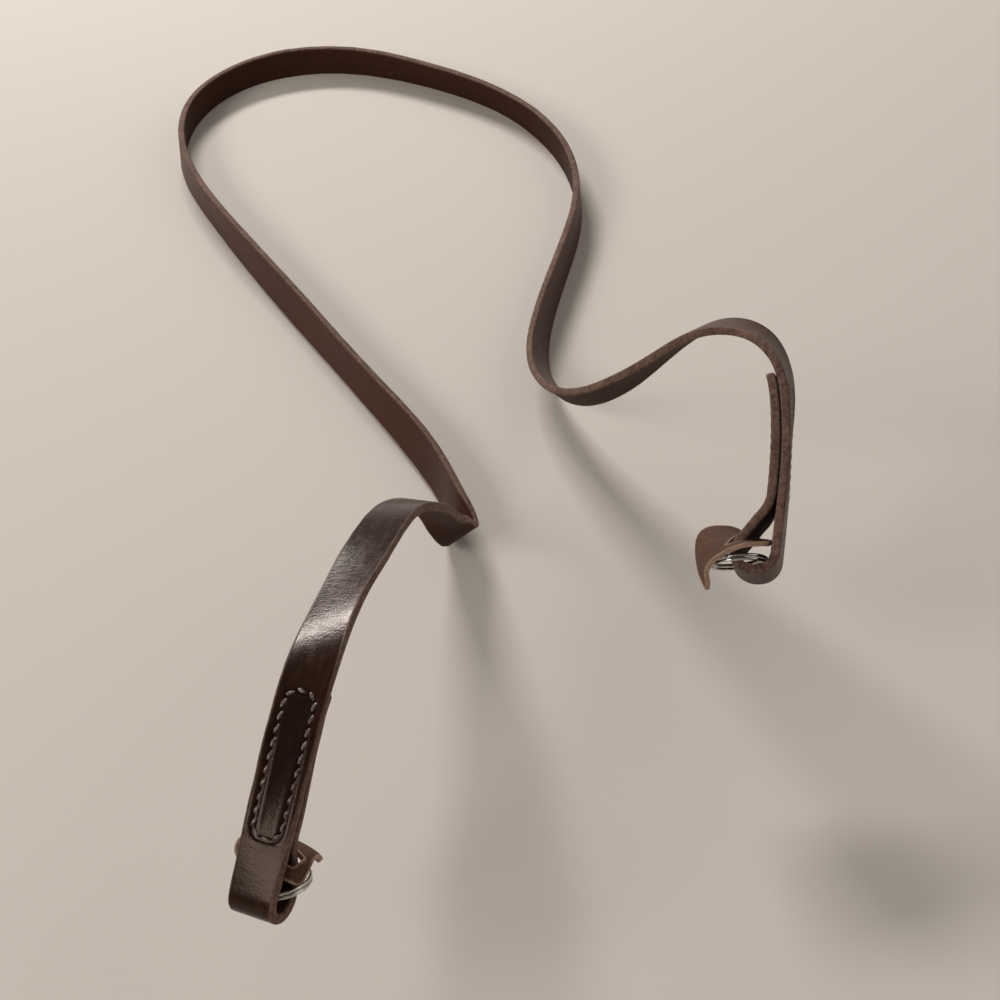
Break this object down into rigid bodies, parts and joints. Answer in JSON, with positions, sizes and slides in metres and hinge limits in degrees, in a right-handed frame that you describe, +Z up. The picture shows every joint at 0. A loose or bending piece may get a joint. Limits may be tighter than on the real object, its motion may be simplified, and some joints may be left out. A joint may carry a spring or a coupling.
{
  "type": "leather camera strap",
  "caption": "Long dark brown leather shoulder strap lying on its edge in an open loop, each end folded and stitched round a split ring with a small leather tab.",
  "frame": {"origin": "centre of the bounding box in plan, at the height of the surface the strap stands on", "axes": "+Z up, +Y from the two ring ends toward the far side of the loop, +X toward the side the loop bulges to"},
  "size_m": [0.3254, 0.3946, 0.0824],
  "materials": {
    "strap_leather": "smooth dyed leather, half gloss, lighter cut edges",
    "ring_steel": "bright nickel plated wire",
    "tab_leather": "thin matt brown leather"
  },
  "bodies": {
    "root": {"strap": "strap_leather", "ring_right": "ring_steel", "ring_left": "ring_steel", "tab_right": "tab_leather", "tab_left": "tab_leather"}
  },
  "joints": []
}
